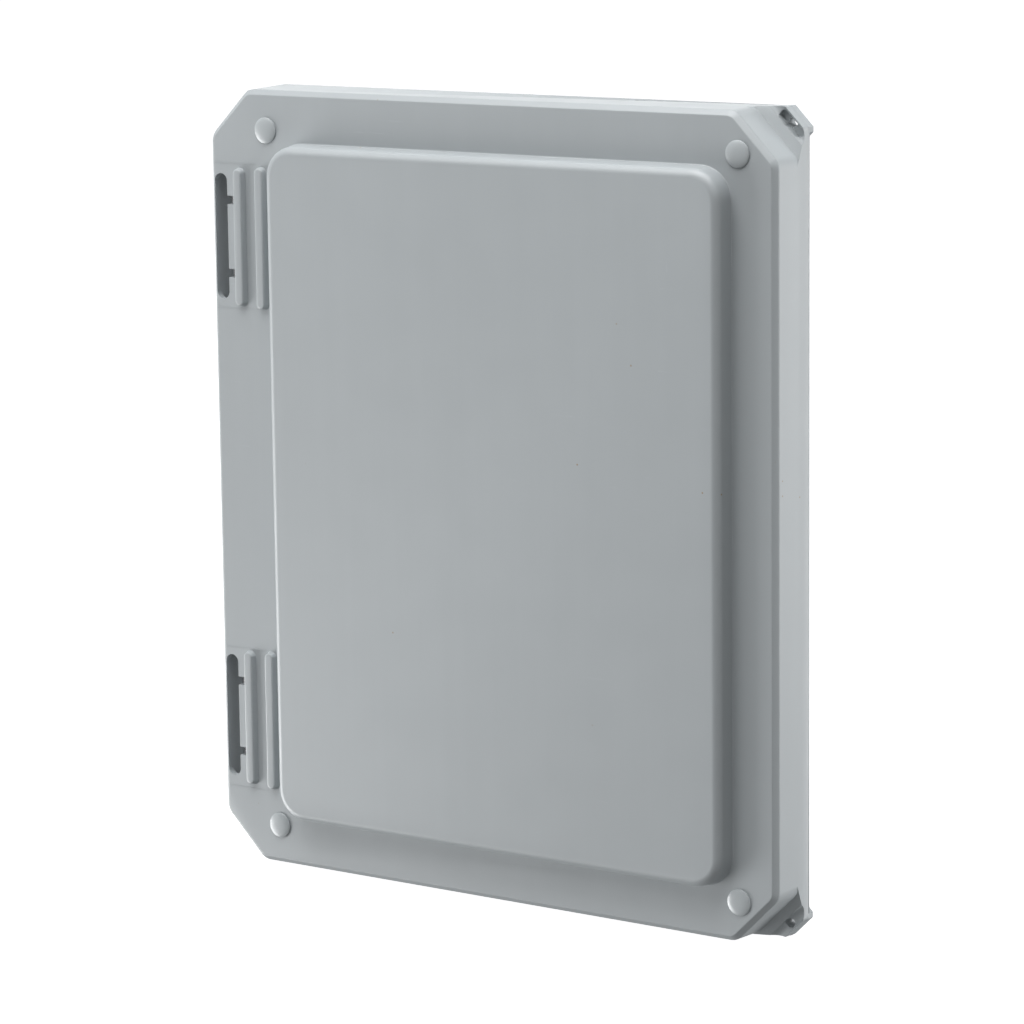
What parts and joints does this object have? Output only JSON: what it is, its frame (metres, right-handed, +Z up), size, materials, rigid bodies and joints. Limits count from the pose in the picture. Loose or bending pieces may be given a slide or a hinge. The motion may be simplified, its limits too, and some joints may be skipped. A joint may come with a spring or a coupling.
{
  "type": "subpanel enclosure",
  "caption": "Shallow moulded wall enclosure with a hinged raised cover, capped captive screws, corner mounting feet and a steel subpanel inside.",
  "frame": {"origin": "middle of the cover's outline, on the wall plane that the backs of the four feet touch", "axes": "+Z up, -Y out of the cover towards the user, +X to the user's right, away from the hinge"},
  "size_m": [0.2792, 0.0355, 0.3314],
  "materials": {
    "case_grey": "satin moulded light grey polycarbonate",
    "cap_grey": "satin light grey, a little lighter than the case",
    "gasket_rubber": "matt black foamed rubber",
    "zinc_steel": "white powder coat",
    "brass": "machined",
    "stainless": "bright stainless steel",
    "spring_steel": "darkened spring steel",
    "bonding_green": "green-dyed plated steel",
    "keeper_nylon": "natural nylon"
  },
  "bodies": {
    "back_box": {"back_box": "case_grey", "subpanel": "zinc_steel", "subpanel_inserts": "brass", "subpanel_washers": "stainless", "subpanel_screws": "stainless", "bonding_washer": "stainless", "bonding_screw": "bonding_green", "bonding_nut": "brass", "cover_screw_inserts": "brass", "hinge_pin_upper": "stainless", "hinge_pin_lower": "stainless", "hinge_pin_clips": "spring_steel"},
    "cover": {"cover": "case_grey", "gasket": "gasket_rubber", "screw_keeper_rings": "keeper_nylon"},
    "screw_top_left": {"cover_screw_top_left": "stainless"},
    "cap_top_left": {"screw_cap_top_left": "cap_grey"},
    "screw_top_right": {"cover_screw_top_right": "stainless"},
    "cap_top_right": {"screw_cap_top_right": "cap_grey"},
    "screw_bottom_left": {"cover_screw_bottom_left": "stainless"},
    "cap_bottom_left": {"screw_cap_bottom_left": "cap_grey"},
    "screw_bottom_right": {"cover_screw_bottom_right": "stainless"},
    "cap_bottom_right": {"screw_cap_bottom_right": "cap_grey"}
  },
  "joints": [
    {"name": "cover_hinge", "type": "hinge", "parent": "back_box", "child": "cover", "pos_m": [-0.1332, -0.0184, 0], "axis": [0, 0, -1], "range_deg": [0, 178]},
    {"name": "screw_top_left_drive", "type": "slide", "parent": "cover", "child": "screw_top_left", "axis": [0, 1, 0], "range_m": [0, 0.0055]},
    {"name": "cap_top_left_pull", "type": "slide", "parent": "cover", "child": "cap_top_left", "axis": [0, -1, 0], "range_m": [0, 0.012]},
    {"name": "screw_top_right_drive", "type": "slide", "parent": "cover", "child": "screw_top_right", "axis": [0, 1, 0], "range_m": [0, 0.0055]},
    {"name": "cap_top_right_pull", "type": "slide", "parent": "cover", "child": "cap_top_right", "axis": [0, -1, 0], "range_m": [0, 0.012]},
    {"name": "screw_bottom_left_drive", "type": "slide", "parent": "cover", "child": "screw_bottom_left", "axis": [0, 1, 0], "range_m": [0, 0.0055]},
    {"name": "cap_bottom_left_pull", "type": "slide", "parent": "cover", "child": "cap_bottom_left", "axis": [0, -1, 0], "range_m": [0, 0.012]},
    {"name": "screw_bottom_right_drive", "type": "slide", "parent": "cover", "child": "screw_bottom_right", "axis": [0, 1, 0], "range_m": [0, 0.0055]},
    {"name": "cap_bottom_right_pull", "type": "slide", "parent": "cover", "child": "cap_bottom_right", "axis": [0, -1, 0], "range_m": [0, 0.012]}
  ]
}
